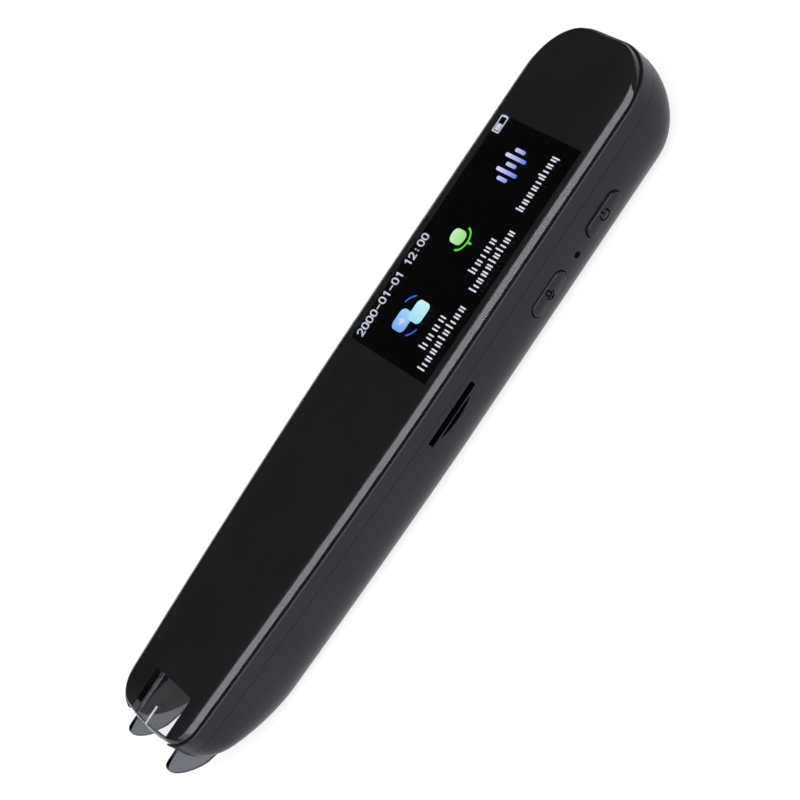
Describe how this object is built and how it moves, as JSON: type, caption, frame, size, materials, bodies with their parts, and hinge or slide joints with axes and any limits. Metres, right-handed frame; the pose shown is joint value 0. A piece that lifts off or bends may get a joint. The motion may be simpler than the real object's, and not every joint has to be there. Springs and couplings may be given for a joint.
{
  "type": "scanning pen",
  "caption": "Hand-held scanning pen with a long display cover, side keys, a memory card slot and a smoky clear nib guide at its open nose.",
  "frame": {"origin": "on the flat of the back, under the middle of the body", "axes": "+Z out of the display, +Y along the body from the nose to the tail, +X toward the side with the keys"},
  "size_m": [0.0287, 0.1333, 0.0154],
  "materials": {
    "cover": "polished",
    "print": "gloss print",
    "foam": "matt foam",
    "casing": "satin, fine grain",
    "display": "polished",
    "backlight": "pressed steel",
    "flex": "amber film",
    "board": "solder mask",
    "screw": "plated",
    "tinplate": "tinned",
    "chip": "matt moulding",
    "battery_foil": "laminated foil",
    "inner_plastic": "matt",
    "mesh": "woven mesh",
    "key": "satin",
    "clear_plastic": "polished",
    "smoky_plastic": "polished",
    "led": "clear resin",
    "lens": "black barrel",
    "spring_steel": "drawn wire"
  },
  "bodies": {
    "casing": {"cover_lens": "cover", "print_mask": "print", "cover_gasket": "foam", "front_frame": "casing", "rear_shell": "casing", "display_panel": "display", "display_backlight": "backlight", "display_flex": "flex", "main_board": "board", "board_screw_1": "screw", "board_screw_2": "screw", "board_screw_3": "screw", "board_screw_4": "screw", "shield_can": "tinplate", "processor": "chip", "card_socket": "tinplate", "usb_port": "tinplate", "battery": "battery_foil", "battery_pad": "foam", "battery_lead": "flex", "speaker": "inner_plastic", "speaker_mesh": "mesh", "microphone": "tinplate", "microphone_boot": "foam", "power_switch": "tinplate", "mic_switch": "tinplate", "optics_tray": "inner_plastic", "scan_window": "clear_plastic", "light_board": "board", "led_right": "led", "led_left": "led", "camera_lens": "lens", "camera_module": "inner_plastic", "camera_flex": "flex", "nib_spring": "spring_steel", "nib_switch": "tinplate"},
    "power_key": {"power_button": "key"},
    "mic_key": {"mic_button": "key"},
    "power_pin": {"power_plunger": "inner_plastic"},
    "mic_pin": {"mic_plunger": "inner_plastic"},
    "nib": {"nib_guide": "smoky_plastic"},
    "nib_pin": {"nib_plunger": "inner_plastic"}
  },
  "joints": [
    {"name": "power_key_slide", "type": "slide", "parent": "casing", "child": "power_key", "axis": [-1, 0, 0], "range_m": [0, 0.00035], "stiffness_N_per_m": 600, "springref_m": -0.0012},
    {"name": "mic_key_slide", "type": "slide", "parent": "casing", "child": "mic_key", "axis": [-1, 0, 0], "range_m": [0, 0.00035], "stiffness_N_per_m": 600, "springref_m": -0.0012},
    {"name": "power_pin_slide", "type": "slide", "parent": "casing", "child": "power_pin", "axis": [-1, 0, 0], "range_m": [0, 0.00035]},
    {"name": "mic_pin_slide", "type": "slide", "parent": "casing", "child": "mic_pin", "axis": [-1, 0, 0], "range_m": [0, 0.00035]},
    {"name": "nib_slide", "type": "slide", "parent": "casing", "child": "nib", "axis": [0, 1, 0], "range_m": [0, 0.0008], "stiffness_N_per_m": 500, "springref_m": -0.001, "deforming": ["nib_spring"]},
    {"name": "nib_pin_slide", "type": "slide", "parent": "casing", "child": "nib_pin", "axis": [0, 1, 0], "range_m": [0, 0.0008]}
  ],
  "couplings": [
    {"joint": "power_pin_slide", "follows": "power_key_slide", "ratio": 1},
    {"joint": "mic_pin_slide", "follows": "mic_key_slide", "ratio": 1},
    {"joint": "nib_pin_slide", "follows": "nib_slide", "ratio": 1}
  ]
}
